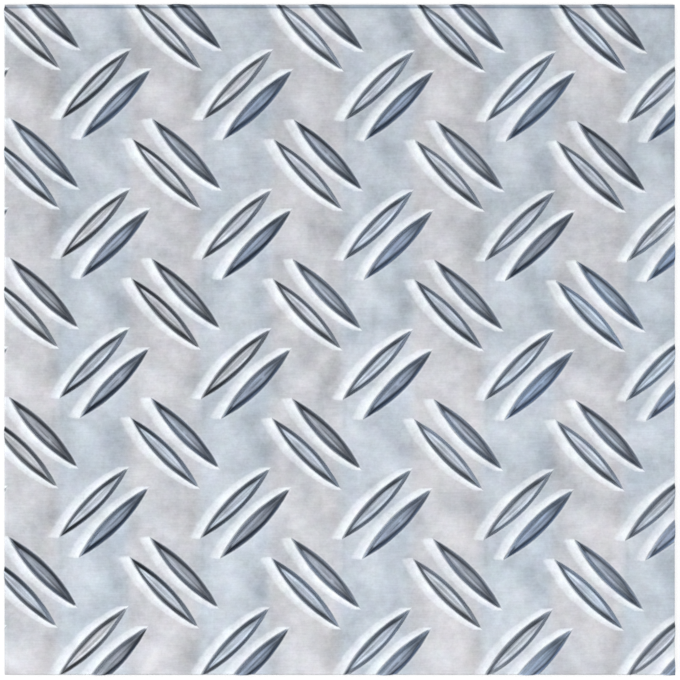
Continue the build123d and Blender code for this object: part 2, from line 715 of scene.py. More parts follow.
@dataclass(frozen=True)
class Level:
    """A number that changes over the surface, with the arithmetic of the shader nodes.

    Args:
        wiring: The wiring of the tree.
        socket: The socket that gives the number.
    """

    wiring: Wiring
    socket: bpy.types.NodeSocket

    def __add__(self, other: "Level | float") -> "Level":
        """This level plus another."""
        return self.wiring.math("ADD", self, other)

    def __sub__(self, other: "Level | float") -> "Level":
        """This level less another."""
        return self.wiring.math("SUBTRACT", self, other)

    def __rsub__(self, other: float) -> "Level":
        """A number less this level."""
        return self.wiring.math("SUBTRACT", other, self)

    def __mul__(self, other: "Level | float") -> "Level":
        """This level times another."""
        return self.wiring.math("MULTIPLY", self, other)

    def __truediv__(self, other: "Level | float") -> "Level":
        """This level over another."""
        return self.wiring.math("DIVIDE", self, other)

    def __abs__(self) -> "Level":
        """This level without its sign."""
        return self.wiring.math("ABSOLUTE", self)

    def folded(self, middle: float, period: float) -> "Level":
        """How far the level lies from the nearest of the places that repeat with a period.

        Args:
            middle: One of the places.
            period: The distance from one place to the next.

        Returns:
            The distance, from minus half the period to half of it.
        """
        return self.wiring.math("WRAP", self - middle, -period / 2, period / 2)

    def around(self, base: "Level | float", size: float) -> "Level":
        """A base, raised by size times what this level, between 0 and 1, has above a half."""
        return (self - 0.5) * size + base

    def bell(self) -> "Level":
        """1 where the level is 0, and less on both sides: the exponential of minus its square."""
        return self.wiring.math("EXPONENT", self * self * -1.0)

    def ramp(self, low: float, high: float, smooth: bool = True) -> "Level":
        """How far the level has gone from low to high, between 0 and 1.

        Args:
            low: The level that gives 0.
            high: The level that gives 1.
            smooth: Whether the change starts and ends softly.

        Returns:
            The share.
        """
        kind = "SMOOTHSTEP" if smooth else "LINEAR"
        inputs = {"Value": self, "From Min": low, "From Max": high}
        node = self.wiring.add("MapRange", inputs, interpolation_type=kind, clamp=True)
        return Level(self.wiring, node.outputs[0])

    def curve(self, stops: Stops) -> "Level":
        """What a curve through some stops gives for this level.

        Args:
            stops: The stops, each a value of this level and the curve's level there, in order.

        Returns:
            The curve's level, constant before the first stop and past the last one.
        """
        first, last = stops[0][0], stops[-1][0]
        node = self.wiring.add("ValToRGB", {0: self.ramp(first, last, smooth=False)})
        node.color_ramp.interpolation = "CARDINAL"
        elements = node.color_ramp.elements
        elements.remove(elements[1])
        for k, (at, level) in enumerate(stops):
            position = (at - first) / (last - first)
            element = elements[0] if k == 0 else elements.new(position)
            element.position, element.color = position, (level, level, level, 1)
        return Level(self.wiring, node.outputs["Color"])

    def blend(self, first: "Level | float", second: "Level | float") -> "Level":
        """Two levels mixed by this share."""
        node = self.wiring.add("Mix", {0: self, 2: first, 3: second}, data_type="FLOAT")
        return Level(self.wiring, node.outputs[0])

    def mix(self, first: "Triple | Colour", second: "Triple | Colour") -> "Triple":
        """Two colours mixed by this share."""
        node = self.wiring.add("Mix", {0: self, 6: first, 7: second}, data_type="RGBA")
        return Triple(self.wiring, node.outputs[2])

    def tinted(self, colour: "Triple | Colour") -> "Triple":
        """A colour times this level."""
        node = self.wiring.add("VectorMath", {0: colour, "Scale": self}, operation="SCALE")
        return Triple(self.wiring, node.outputs[0])


@dataclass(frozen=True)
class Triple:
    """A place or a colour that changes over the surface.

    Args:
        wiring: The wiring of the tree.
        socket: The socket that gives its three parts.
    """

    wiring: Wiring
    socket: bpy.types.NodeSocket

    def __add__(self, other: "Triple | Factors") -> "Triple":
        """This triple plus another."""
        return self.wiring.vector_math("ADD", self, other)

    def __sub__(self, other: "Triple | Factors") -> "Triple":
        """This triple less another."""
        return self.wiring.vector_math("SUBTRACT", self, other)

    def __mul__(self, other: "Triple | Factors") -> "Triple":
        """This triple times another, part by part."""
        return self.wiring.vector_math("MULTIPLY", self, other)

    def parts(self) -> tuple[Level, ...]:
        """The three parts."""
        outputs = self.wiring.add("SeparateXYZ", {0: self}).outputs
        return tuple(Level(self.wiring, output) for output in outputs)

    def turned(self, angle: float) -> "Triple":
        """The place, turned about +Z.

        Args:
            angle: The angle, anticlockwise from above.

        Returns:
            The new place.
        """
        inputs = {"Vector": self, "Angle": angle}
        node = self.wiring.add("VectorRotate", inputs, rotation_type="Z_AXIS")
        return Triple(self.wiring, node.outputs[0])

    def bell(self, half_length: float, half_width: float) -> Level:
        """1 at the origin, and less all round: the exponential of minus the squared distance.

        Args:
            half_length: The length, along the first part, that counts as a distance of 1.
            half_width: The length, along the second part, that counts as a distance of 1.

        Returns:
            The level.
        """
        shares = self * (1 / half_length, 1 / half_width, 0)
        node = self.wiring.add("VectorMath", {0: shares, 1: shares}, operation="DOT_PRODUCT")
        squared = Level(self.wiring, node.outputs["Value"])
        return self.wiring.math("EXPONENT", squared * -1.0)

    def around_white(self, size: float) -> "Triple":
        """White, with each part raised by size times what this colour's part has above a half."""
        return self.wiring.vector_math("MULTIPLY", self - (0.5, 0.5, 0.5), (size, size, size)) + WHITE

    def cooled(self, amount: Level) -> "Triple":
        """The colour with its red lowered and its blue raised by an amount."""
        return self * self.wiring.triple(1.0 - amount, 1.0, amount + 1.0)

    def noise_node(self, size: float, detail: float, rough: float) -> bpy.types.Node:
        """A noise whose patches are about this size, in metres, read at this place."""
        inputs = {"Vector": self, "Scale": 1 / size, "Detail": detail, "Roughness": rough}
        return self.wiring.add("TexNoise", inputs)

    def noise(self, size: float, detail: float, rough: float) -> Level:
        """One such noise, about 0.5 on the average."""
        return Level(self.wiring, self.noise_node(size, detail, rough).outputs["Fac"])

    def noises(self, size: float, detail: float, rough: float) -> "Triple":
        """Three such noises."""
        return Triple(self.wiring, self.noise_node(size, detail, rough).outputs["Color"])


@dataclass(frozen=True)
class Grain:
    """The rolled grain at a place, each of its levels about 0.5 on the average.

    Args:
        cloud: Soft clouds.
        mottle: Smaller, rougher patches.
        fine: The finest grain.
        lines: Fine lines along the sheet.
        pearl: A soft noise of its own for each part of a colour.
    """

    cloud: Level
    mottle: Level
    fine: Level
    lines: Level
    pearl: Triple


@dataclass(frozen=True)
class RolledGrain:
    """The grain that the rolls leave, as a node group that every finish of the sheet uses."""

    name: str = "rolled grain"
    cloud_size: float = 15 * MM
    mottle_size: float = 7 * MM
    grain_size: float = 0.5 * MM
    pearl_size: float = 5 * MM
    line_stretch: float = 12.0

    def group(self) -> bpy.types.NodeTree:
        """Builds the group once.

        Returns:
            The group, with an output for each part of a Grain.
        """
        if self.name in bpy.data.node_groups:
            return bpy.data.node_groups[self.name]
        tree = bpy.data.node_groups.new(self.name, "ShaderNodeTree")
        tree.interface.new_socket("Place", in_out="INPUT", socket_type="NodeSocketVector")
        wiring = Wiring(tree)
        place = Triple(wiring, tree.nodes.new("NodeGroupInput").outputs["Place"])
        drawn = place * (1 / self.line_stretch, 1, 1)
        found = Grain(
            cloud=place.noise(self.cloud_size, detail=2, rough=0.5),
            mottle=place.noise(self.mottle_size, detail=5, rough=0.8),
            fine=place.noise(self.grain_size, detail=2, rough=0.6),
            lines=drawn.noise(self.grain_size, detail=2, rough=0.6),
            pearl=place.noises(self.pearl_size, detail=4, rough=0.75),
        )
        out = tree.nodes.new("NodeGroupOutput")
        for part in fields(Grain):
            kind = "NodeSocketVector" if part.type is Triple else "NodeSocketFloat"
            tree.interface.new_socket(part.name, in_out="OUTPUT", socket_type=kind)
            wiring.put(getattr(found, part.name), out.inputs[part.name])
        return tree

    def at(self, place: Triple) -> Grain:
        """The grain at a place.

        Args:
            place: The place.

        Returns:
            Its levels.
        """
        node = place.wiring.add("Group", node_tree=self.group())
        place.wiring.put(place, node.inputs["Place"])
        parts = (part.type(place.wiring, node.outputs[part.name]) for part in fields(Grain))
        return Grain(*parts)


@dataclass(frozen=True)
class Metal:
    """A metal material in the making.

    Args:
        material: The material.
        place: The place on the sheet, in Object coordinates.
        grain: The rolled grain there.
    """

    material: bpy.types.Material
    place: Triple
    grain: Grain

    @classmethod
    def named(cls, name: str) -> "Metal":
        """Starts a material of this name.

        Args:
            name: The name.

        Returns:
            The material, its place and its grain.
        """
        material = bpy.data.materials.new(name)
        material.use_nodes = True
        wiring = Wiring(material.node_tree)
        place = Triple(wiring, wiring.add("TexCoord").outputs["Object"])
        return cls(material, place, RolledGrain().at(place))

    def finished(self, colour: Triple, rough: Level, relief: Level, bump: Span) -> bpy.types.Material:
        """Joins what a finish has worked out to the shader.

        Args:
            colour: The metal's colour.
            rough: Its roughness.
            relief: The height of its fine relief.
            bump: The strength of the relief, and its depth in metres.

        Returns:
            The material.
        """
        wiring, strength, depth = self.place.wiring, *bump
        shader = self.material.node_tree.nodes["Principled BSDF"]
        bump_node = wiring.add("Bump", {"Height": relief, "Strength": strength, "Distance": depth})
        wiring.put(colour, shader.inputs["Base Color"])
        wiring.put(rough, shader.inputs["Roughness"])
        wiring.put(1.0, shader.inputs["Metallic"])
        wiring.put(Triple(wiring, bump_node.outputs[0]), shader.inputs["Normal"])
        return self.material


@dataclass(frozen=True)
class ByKind:
    """A number for each kind of bar, by its crown and by whether it falls or rises to the right."""

    flat_falling: float
    flat_rising: float
    round_falling: float
    round_rising: float


class Chance(Enum):
    """What differs from bar to bar at random, each with the factor that draws it."""

    FLANK_LIGHT = 7.3
    BLUE = 5.3
    COOLNESS = 3.7
    GLINT_PLACE = 2.9
    GLINT_LIGHT = 9.1


@dataclass(frozen=True)
class OnBar:
    """Where a shaded place lies on its bar, and which bar that is.

    Args:
        place: Along the bar, across it and inside its outline, in metres.
        inset: How far it lies inside the outline, in metres.
        along: How far it lies along the bar, from -1 at its left tip to 1 at its right one.
        across: How far it lies to the left of the bar's axis, in metres.
        on_left: Whether it lies to the left of the axis.
        inside: How far it lies inside the bar's outline, in millimetres, or 0 outside.
        outside: Minus the distance outside the outline, in millimetres, or 0 inside.
        is_round: 1 on a bar with a round crown, else 0.
        rising: 1 on a bar that rises from left to right, else 0.
        own: The bar's own tone, between 0 and 1.
        to_right: Where it lies on the sheet, from -1 at the left side to 1 at the right one.
        to_far_side: Where it lies on the sheet, from -1 at the near side to 1 at the far one.
    """

    place: Triple
    inset: Level
    along: Level
    across: Level
    on_left: Level
    inside: Level
    outside: Level
    is_round: Level
    rising: Level
    own: Level
    to_right: Level
    to_far_side: Level

    @classmethod
    def read(cls, metal: Metal, bar: TreadBar, half: Span) -> "OnBar":
        """Reads the mesh's attributes.

        Args:
            metal: The material in the making.
            bar: The bar, for its length.
            half: Half the sheet's length and width.

        Returns:
            The place on its bar.
        """
        wiring = metal.place.wiring
        place = wiring.attribute("bar_place")
        along, across, inset = place.parts()
        is_round, rising, own = wiring.attribute("bar_kind").parts()
        x, y, _ = metal.place.parts()
        return cls(
            place=place,
            inset=inset,
            along=along / (bar.length / 2),
            across=across,
            on_left=across.ramp(-AXIS_BLEND, AXIS_BLEND),
            inside=wiring.math("MAXIMUM", inset, 0.0) / MM,
            outside=wiring.math("MINIMUM", inset, 0.0) / MM,
            is_round=is_round,
            rising=rising,
            own=own,
            to_right=x / half[0],
            to_far_side=y / half[1],
        )

    def chance(self, what: Chance) -> Level:
        """A number of the bar's own between 0 and 1."""
        return self.own.wiring.math("FRACT", self.own * what.value)

    def of_kind(self, numbers: ByKind) -> Level:
        """The number for this bar's kind.

        Args:
            numbers: The numbers of the four kinds.

        Returns:
            The number.
        """
        flat = self.rising.blend(numbers.flat_falling, numbers.flat_rising)
        rounded = self.rising.blend(numbers.round_falling, numbers.round_rising)
        return self.is_round.blend(flat, rounded)

    def of_crown(self, value: Level, flat: Stops, rounded: Stops) -> Level:
        """What the curve for this bar's kind of crown gives for a value."""
        return self.is_round.blend(value.curve(flat), value.curve(rounded))


@dataclass(frozen=True)
class FlatPatch:
    """A soft lighter or darker patch on the flats beside every pair of one lean.

    Args:
        rising: Whether it lies beside the pairs that rise from left to right.
        place: Its middle, from the middle of its pair.
        half_sizes: Its half length and half width.
        angle: The angle of its length with the sheet's.
        light: How much lighter it is than the flat about it.
        blue: How much bluer it is.
    """

    rising: bool
    place: Span
    half_sizes: Span
    angle: float
    light: float
    blue: float = 0.0

    def strength(self, pattern: Pattern, x: Level, y: Level) -> Level:
        """How strong the mark is at a place, 1 at its middle beside every pair.

        Args:
            pattern: The pattern of the bars.
            x: The place along the sheet, in the pattern's own axes.
            y: The place across the sheet, in the pattern's own axes.

        Returns:
            The strength.
        """
        pitches = (pattern.pitch_along, pattern.pitch_across)
        away = []
        for value, pair, place, pitch in zip((x, y), pattern.falling_pair, self.place, pitches):
            away.append(value.folded(pair + place + self.rising * pitch / 2, pitch))
        return x.wiring.triple(*away).turned(-self.angle).bell(*self.half_sizes)


@dataclass(frozen=True)
class FlatTones:
    """The flats: warm bands under the falling pairs, cool ones between, soft lighter and darker patches
    beside the pairs, and painted light that darkens them towards the far side.
    """

    cool: Colour = (0.537, 0.599, 0.668)
    warm: Colour = (0.615, 0.612, 0.642)
    warm_band_shift: float = -3.7 * MM
    band_edge: float = 2.4 * MM
    band_warmth: Span = (0.16, 0.84)
    cloud_warmth: float = 0.9
    mottle_light: float = 0.9
    line_light: float = 0.2
    cloud_light: float = 0.5
    # Painted light: the flats grow darker towards the sheet's far side.
    painted_light_per_metre_to_far_side: float = -0.7
    marks: tuple[FlatPatch, ...] = (
        FlatPatch(False, (15.8 * MM, 2.5 * MM), (5.5 * MM, 3.8 * MM), radians(-30), 0.14),
        FlatPatch(False, (-17.0 * MM, -1.0 * MM), (8.0 * MM, 3.6 * MM), radians(-58), -0.17, 0.018),
        FlatPatch(False, (8.5 * MM, -7.5 * MM), (6.0 * MM, 2.4 * MM), radians(-45), 0.0, 0.014),
        FlatPatch(False, (12.5 * MM, -10.5 * MM), (4.0 * MM, 3.0 * MM), radians(-45), 0.045),
        FlatPatch(False, (8.3 * MM, 9.2 * MM), (5.0 * MM, 0.7 * MM), radians(90), -0.09),
        FlatPatch(False, (3.0 * MM, -23.5 * MM), (4.5 * MM, 3.0 * MM), radians(90), -0.06),
        FlatPatch(True, (15.5 * MM, -2.0 * MM), (6.0 * MM, 4.0 * MM), radians(-35), 0.15),
        FlatPatch(True, (-15.4 * MM, 2.0 * MM), (6.5 * MM, 2.8 * MM), radians(90), -0.17),
        FlatPatch(True, (6.0 * MM, -6.5 * MM), (8.0 * MM, 2.8 * MM), radians(45), 0.02, 0.025),
        FlatPatch(True, (-1.2 * MM, 18.9 * MM), (4.0 * MM, 3.5 * MM), 0.0, 0.045),
        FlatPatch(True, (8.6 * MM, 9.7 * MM), (3.5 * MM, 2.0 * MM), radians(90), -0.06),
        FlatPatch(True, (9.0 * MM, -3.4 * MM), (5.0 * MM, 1.6 * MM), radians(90), -0.08),
    )
    # A painted highlight: a thin bright line just outside the right outline of each bar.
    halo: Span = (0.05, 0.09)
    halo_starts: Span = (-0.62 * MM, -0.48 * MM)
    halo_ends: Span = (-0.12 * MM, -0.3 * MM)
    right_of_axis: Span = (0.0, -0.3 * MM)

    def colour(self, pattern: Pattern, place: Triple, grain: Grain) -> Triple:
        """The flats' colour.

        Args:
            pattern: The pattern of the bars.
            place: The place on the sheet.
            grain: The grain there.

        Returns:
            The colour.
        """
        x, y, _ = place.turned(-pattern.turn).parts()
        middle, side = pattern.falling_pair[0] + self.warm_band_shift, pattern.pitch_along / 4
        from_middle = abs(x.folded(middle, pattern.pitch_along))
        band = from_middle.ramp(side + self.band_edge, side - self.band_edge)
        warmth = grain.cloud.around(band.blend(*self.band_warmth), self.cloud_warmth)
        light = grain.mottle.around(1.0, self.mottle_light)
        light = grain.lines.around(light, self.line_light)
        light = grain.cloud.around(light, self.cloud_light)
        # Painted light, darker towards the far side.
        light = y * self.painted_light_per_metre_to_far_side + light
        cooler = 0.0
        for mark in self.marks:
            strength = mark.strength(pattern, x, y)
            light = strength * mark.light + light
            if mark.blue:
                cooler = strength * mark.blue + cooler
        return light.tinted(warmth.mix(self.cool, self.warm).cooled(cooler))

    def painted_foot_highlight(self, spot: OnBar) -> Level:
        """The share of light just outside a bar's right outline, where a painted thin bright line runs
        in place of light caught by the bar's foot.

        Args:
            spot: The place on the bar.

        Returns:
            The share, 1 away from the line.
        """
        line = spot.inset.ramp(*self.halo_starts) * spot.inset.ramp(*self.halo_ends)
        line = line * spot.across.ramp(*self.right_of_axis)
        return line * spot.is_round.blend(*self.halo) + 1.0


@dataclass(frozen=True)
class PaintedApronHighlight:
    """The painted highlight on the low aprons on the left of the bars, as light from the left would
    give them.
    """

    # The colour of the painted highlight on the aprons.
    tint: Colour = (0.895, 0.94, 0.99)
    unevenness: float = 1.2
    mottle_light: float = 0.6
    grain_light: float = 0.15
    # How much painted highlight the apron gets, over its mask.
    tones: Stops = (
        (0.0, 0.0), (0.12, 0.15), (0.3, 0.52), (0.5, 0.66), (0.7, 0.88), (0.85, 1.0), (1.0, 1.0),
    )

    def over(self, flats: Triple, grain: Grain) -> Triple:
        """The flats' colour with the aprons' painted highlight over it.

        Args:
            flats: The flats' colour.
            grain: The grain there.

        Returns:
            The colour.
        """
        node = flats.wiring.add("Attribute", attribute_name="apron")
        apron = Level(flats.wiring, node.outputs["Fac"])
        uneven = apron * grain.mottle.around(1.0, self.unevenness)
        light = grain.fine.around(grain.mottle.around(1.0, self.mottle_light), self.grain_light)
        return uneven.curve(self.tones).mix(flats, light.tinted(self.tint))


@dataclass(frozen=True)
class PaintedCrownLight:
    """The painted light on the crowns of the bars: how bright they are along the bar, and the small
    painted glints.
    """

    # Painted light along a flat or a round crown, from its left tip to its right one.
    flat: Stops = (
        (-1.0, 0.3), (-0.8, 0.35), (-0.7, 0.9), (-0.6, 1.5), (-0.3, 0.92), (0.0, 1.0),
        (0.25, 1.0), (0.4, 0.85), (0.6, 0.65), (0.7, 0.86), (1.0, 0.86),
    )
    rounded: Stops = (
        (-1.0, 0.3), (-0.8, 0.3), (-0.7, 0.5), (-0.6, 1.5), (-0.3, 0.98), (0.0, 0.96),
        (0.2, 0.92), (0.4, 0.72), (0.6, 0.58), (0.7, 0.9), (1.0, 0.9),
    )
    on_left_part: Span = (0.4, -0.4)
    more_on_left_part: ByKind = ByKind(0.0, 0.0, 0.0, -0.08)
    line_depth: float = 0.42
    line_place: float = -0.051 * MM
    line_half_width: float = 0.3 * MM
    line_starts: Span = (-0.35, 0.0)
    glint_light: float = 0.75
    glint_luck: Span = (0.5, 0.9)
    glint_middle: float = 0.08
    glint_spread: float = 0.3
    glint_half_sizes: Span = (0.045, 0.3 * MM)

    def light(self, spot: OnBar) -> Level:
        """How bright the crown is painted along the bar, with a painted dark line of shade on a round
        crown's axis.

        Args:
            spot: The place on the bar.

        Returns:
            The level.
        """
        level = spot.of_crown(spot.along, self.flat, self.rounded)
        more = spot.along.ramp(*self.on_left_part) * spot.of_kind(self.more_on_left_part)
        line = ((spot.across - self.line_place) / self.line_half_width).bell()
        depth = line * (spot.along.ramp(*self.line_starts) * self.line_depth) * spot.is_round
        return level * (more + 1.0) * (1.0 - depth)

    def painted_glint(self, spot: OnBar) -> Level:
        """The extra light of a small painted glint, which some round bars have near their middle.

        Args:
            spot: The place on the bar.

        Returns:
            The extra share of light.
        """
        middle = spot.chance(Chance.GLINT_PLACE).around(self.glint_middle, self.glint_spread)
        near = spot.own.wiring.triple(spot.along - middle, spot.across).bell(*self.glint_half_sizes)
        strength = spot.chance(Chance.GLINT_LIGHT).ramp(*self.glint_luck) * self.glint_light
        return near * strength * spot.is_round


@dataclass(frozen=True)
class PaintedLeftLightAndShade:
    """The painted light and shade of a bar's left half, which are drawn together towards the left tip.

    The tone runs along a curve over the distance inside the outline, in millimetres, painted over the
    shade of the bar's own shape, and each bar's flank is painted lighter or darker by where it lies on
    the sheet.
    """

    # The painted tone across the left half: a dark flank and a lighter crown.
    flat: Stops = (
        (-0.6, 0.93), (-0.4, 0.86), (-0.2, 0.7), (0.0, 0.52), (0.2, 0.38), (0.5, 0.26),
        (0.85, 0.2), (1.2, 0.19), (1.6, 0.42), (1.9, 0.62), (2.3, 0.48),
    )
    rounded: Stops = (
        (-0.6, 0.92), (-0.4, 0.79), (-0.2, 0.61), (0.0, 0.46), (0.2, 0.38), (0.5, 0.34),
        (0.9, 0.32), (1.35, 0.35), (1.7, 0.49), (2.0, 0.46), (2.3, 0.44),
    )
    stretch: Stops = (
        (-1.0, 0.35), (-0.7, 0.48), (-0.35, 0.8), (0.0, 1.0), (0.5, 1.12), (1.0, 1.2),
    )
    on_right_part: Span = (-0.2, 0.4)
    wider_on_right_part: ByKind = ByKind(0.0, -0.18, 0.0, -0.3)
    at_left_tip: Span = (-0.6, -1.0)
    further_in: Span = (0.12, 0.22)
    share_further_in: ByKind = ByKind(0.0, 1.0, 0.0, 0.4)
    painted_flank_light: Stops = (
        (-1.0, 2.6), (-0.8, 3.0), (-0.6, 1.95), (-0.3, 1.2), (0.0, 0.94), (0.3, 0.76),
        (0.6, 0.56), (0.75, 0.85), (1.0, 1.3),
    )
    at_right_tip: Span = (0.55, 0.72)
    more_at_right_tip: ByKind = ByKind(0.0, 0.5, -0.5, 0.0)
    more_to_far_side: ByKind = ByKind(0.0, 0.0, -0.22, -0.22)
    more_to_right: ByKind = ByKind(0.15, 0.35, 0.1, 0.1)
    kind_light: ByKind = ByKind(1.0, 1.2, 1.0, 1.2)
    own_light: float = 0.2
    flank_starts: Span = (0.0, 0.4)
    crown_starts: Span = (1.0, 1.5)

    def tone(self, spot: OnBar, crown: Level) -> Level:
        """The painted tone of the left half.

        Args:
            spot: The place on the bar.
            crown: How bright the crown is.

        Returns:
            The level.
        """
        wider = spot.along.ramp(*self.on_right_part) * spot.of_kind(self.wider_on_right_part)
        inset = spot.inside / (spot.along.curve(self.stretch) + wider) + spot.outside
        further = spot.along.ramp(*self.at_left_tip).blend(*self.further_in)
        inset = inset + further * spot.of_kind(self.share_further_in)
        tone = spot.of_crown(inset, self.flat, self.rounded)

        # Painted light on the flank, which changes along the bar and with the bar's place on the sheet.
        flank = spot.along.curve(self.painted_flank_light)
        at_right_tip = spot.along.ramp(*self.at_right_tip)
        flank = flank * (at_right_tip * spot.of_kind(self.more_at_right_tip) + 1.0)
        flank = flank * (spot.to_far_side * spot.of_kind(self.more_to_far_side) + 1.0)
        flank = flank * (spot.to_right * spot.of_kind(self.more_to_right) + 1.0)
        flank = flank * spot.of_kind(self.kind_light)
        flank = flank * spot.chance(Chance.FLANK_LIGHT).around(1.0, self.own_light)
        flank = inset.ramp(*self.flank_starts).blend(1.0, flank)
        return tone * inset.ramp(*self.crown_starts).blend(flank, crown)


@dataclass(frozen=True)
class PaintedRightLightAndShade:
    """The painted light and shade of a bar's right half, whose flank is painted darker on the left part
    of the sheet.

    The painted tone runs along a curve over the distance inside the outline, in millimetres, and never
    falls below a least tone towards the right tip.
    """

    # The painted tone across the right half: a dark flank and a lighter crown.
    flat: Stops = (
        (-0.3, 0.62), (-0.1, 0.6), (0.1, 0.5), (0.5, 0.27), (0.8, 0.3), (1.0, 0.4), (1.4, 0.77),
        (1.85, 0.58), (2.3, 0.48),
    )
    rounded: Stops = (
        (-0.3, 0.6), (-0.1, 0.56), (0.1, 0.45), (0.45, 0.26), (0.75, 0.15), (1.1, 0.17),
        (1.4, 0.34), (1.75, 0.4), (2.3, 0.4),
    )
    stretch: Stops = ((-1.0, 1.05), (0.0, 1.0), (0.4, 0.97), (0.6, 1.25), (1.0, 1.6))
    wider: ByKind = ByKind(0.0, 0.0, -0.24, -0.12)
    on_left_part: Span = (0.2, -0.3)
    wider_on_left_part: ByKind = ByKind(0.0, 0.14, 0.21, 0.35)
    shift: Stops = ((-1.0, 0.12), (-0.8, 0.06), (-0.6, 0.0), (0.3, 0.0), (0.6, 0.1), (0.9, 0.2))
    least_starts: Span = (-0.1, 0.6)
    least: Span = (0.43, 0.22)
    least_blend: float = 0.05
    flat_flank_light: Stops = (
        (-1.0, 0.55), (-0.8, 0.7), (-0.6, 0.9), (0.0, 1.0), (0.4, 1.35), (0.7, 1.1), (1.0, 1.1),
    )
    painted_round_flank_light: Stops = ((-1.0, 0.4), (-0.8, 0.52), (-0.6, 0.82), (0.0, 1.0), (1.0, 1.1))
    on_right_part: Span = (0.0, 0.4)
    more_on_right_part: ByKind = ByKind(0.0, 0.17, 0.0, 0.0)
    sheet_middle: Span = (-0.6, 0.4)
    flat_shade: Stops = ((-0.6, 0.6), (0.0, 0.3), (0.6, 0.1))
    round_shade: float = 0.2
    shade_to_far_side: Span = (-0.35, -1.0)
    kind_light: ByKind = ByKind(1.18, 0.88, 1.0856, 0.8096)
    own_light: float = 0.5
    flank_starts: Span = (0.0, 0.4)
    flank_tint_starts: Span = (-0.05, 0.4)
    crown_starts: Span = (0.85, 1.3)

    def tone(self, spot: OnBar, crown: Level) -> tuple[Level, Level]:
        """The painted tone of the right half.

        Args:
            spot: The place on the bar.
            crown: How bright the crown is.

        Returns:
            The level, and how much the place belongs to the flank.
        """
        wider = spot.along.ramp(*self.on_left_part) * spot.of_kind(self.wider_on_left_part)
        stretch = spot.along.curve(self.stretch) + wider + spot.of_kind(self.wider)
        inset = spot.inside / stretch + spot.outside + spot.along.curve(self.shift)
        tone = spot.of_crown(inset, self.flat, self.rounded)
        least = spot.along.ramp(*self.least_starts) * spot.is_round.blend(*self.least)
        tone = tone.wiring.math("SMOOTH_MAX", tone, least, self.least_blend)

        # Painted light on the flank: darker towards the left tip and on the left part of the sheet.
        flank = spot.of_crown(spot.along, self.flat_flank_light, self.painted_round_flank_light)
        on_right_part = spot.along.ramp(*self.on_right_part)
        flank = flank * (on_right_part * spot.of_kind(self.more_on_right_part) + 1.0)
        shade = spot.is_round.blend(spot.along.curve(self.flat_shade), self.round_shade)
        lean = spot.is_round.blend(*self.shade_to_far_side)
        shade = shade * (spot.to_far_side * lean + 1.0)
        side = spot.to_right.ramp(*self.sheet_middle).blend(-1.0, 1.0)
        flank = flank * (side * shade + 1.0) * spot.of_kind(self.kind_light)
        flank = flank * spot.chance(Chance.FLANK_LIGHT).around(1.0, self.own_light)
        flank = inset.ramp(*self.flank_starts).blend(1.0, flank)
        on_crown = inset.ramp(*self.crown_starts)
        on_flank = inset.ramp(*self.flank_tint_starts) - on_crown
        return tone * on_crown.blend(flank, crown), on_flank


@dataclass(frozen=True)
class BarTones:
    """The bars: the painted light and shade of their two sides, with streaks, grain and a tint."""

    crown: PaintedCrownLight = PaintedCrownLight()
    left: PaintedLeftLightAndShade = PaintedLeftLightAndShade()
    right: PaintedRightLightAndShade = PaintedRightLightAndShade()
    own_light: float = 0.14
    streak_size: float = 0.6 * MM
    streak_drawn: Factors = (0.05, 1.0, 0.0)
    streak_light: float = 1.3
    grain_light: float = 0.5
    outline_tint: Colour = (0.955, 1.0, 1.06)
    flat_tint: Colour = (0.91, 1.0, 1.135)
    round_tint: Colour = (0.885, 1.0, 1.19)
    # Painted bluish reflection on the right flanks of round rising bars, and some bars' own bluer
    # crowns.
    blue_tone_and_painted_reflection: Colour = (0.76, 1.0, 1.46)
    outline_tint_ends: Span = (-0.3 * MM, 0.3 * MM)
    blue_ends: Span = (0.8, 0.5)
    some_blue: Span = (0.15, 0.55)
    some_blue_starts: Span = (0.9, 1.4)
    own_coolness: float = 0.08
    # Painted reflection: the bars grow cooler towards the sheet's right side.
    painted_reflection_cooler_to_right: float = 0.03
    flank_blue: float = 0.035
    flank_blue_ends: Span = (1.5, 1.0)

    def colour(self, spot: OnBar, grain: Grain) -> Triple:
        """The bars' colour.

        Args:
            spot: The place on the bar.
            grain: The grain there.

        Returns:
            The colour.
        """
        # The painted light and shade of the crown and of both sides of the bar.
        crown = self.crown.light(spot)
        right, on_right_flank = self.right.tone(spot, crown)
        tone = spot.on_left.blend(right, self.left.tone(spot, crown))
        streak_place = spot.place * self.streak_drawn + spot.own.wiring.triple(0.0, 0.0, spot.own)
        streak = streak_place.noise(self.streak_size, detail=3, rough=0.6)
        light = streak.around(spot.own.around(1.0, self.own_light), self.streak_light)
        # The painted glint adds its light here.
        light = grain.fine.around(light, self.grain_light) + self.crown.painted_glint(spot)
        tint = self.tint(spot, on_right_flank * (1.0 - spot.on_left))
        tint = spot.inset.ramp(*self.outline_tint_ends).mix(self.outline_tint, tint)
        return (tone * light).tinted(tint)

    def tint(self, spot: OnBar, on_right_flank: Level) -> Triple:
        """A bar's tint: a painted bluish reflection, strongest on the right flank of a round bar that
        rises, and a painted cooler reflection towards the sheet's right side.

        Args:
            spot: The place on the bar.
            on_right_flank: How much the place belongs to the right flank.

        Returns:
            The tint, with a mean part of about 1.
        """
        some_blue = spot.chance(Chance.BLUE).blend(*self.some_blue)
        some_blue = some_blue * spot.inside.ramp(*self.some_blue_starts)
        blue = some_blue.wiring.math("MAXIMUM", on_right_flank, some_blue)
        blue = blue * spot.along.ramp(*self.blue_ends) * spot.rising
        tint = spot.is_round.mix(self.flat_tint, blue.mix(self.round_tint, self.blue_tone_and_painted_reflection))
        cooler = spot.to_right * self.painted_reflection_cooler_to_right
        cooler = spot.chance(Chance.COOLNESS).around(cooler, self.own_coolness)
        return tint.cooled(spot.inside.ramp(*self.flank_blue_ends) * self.flank_blue + cooler)


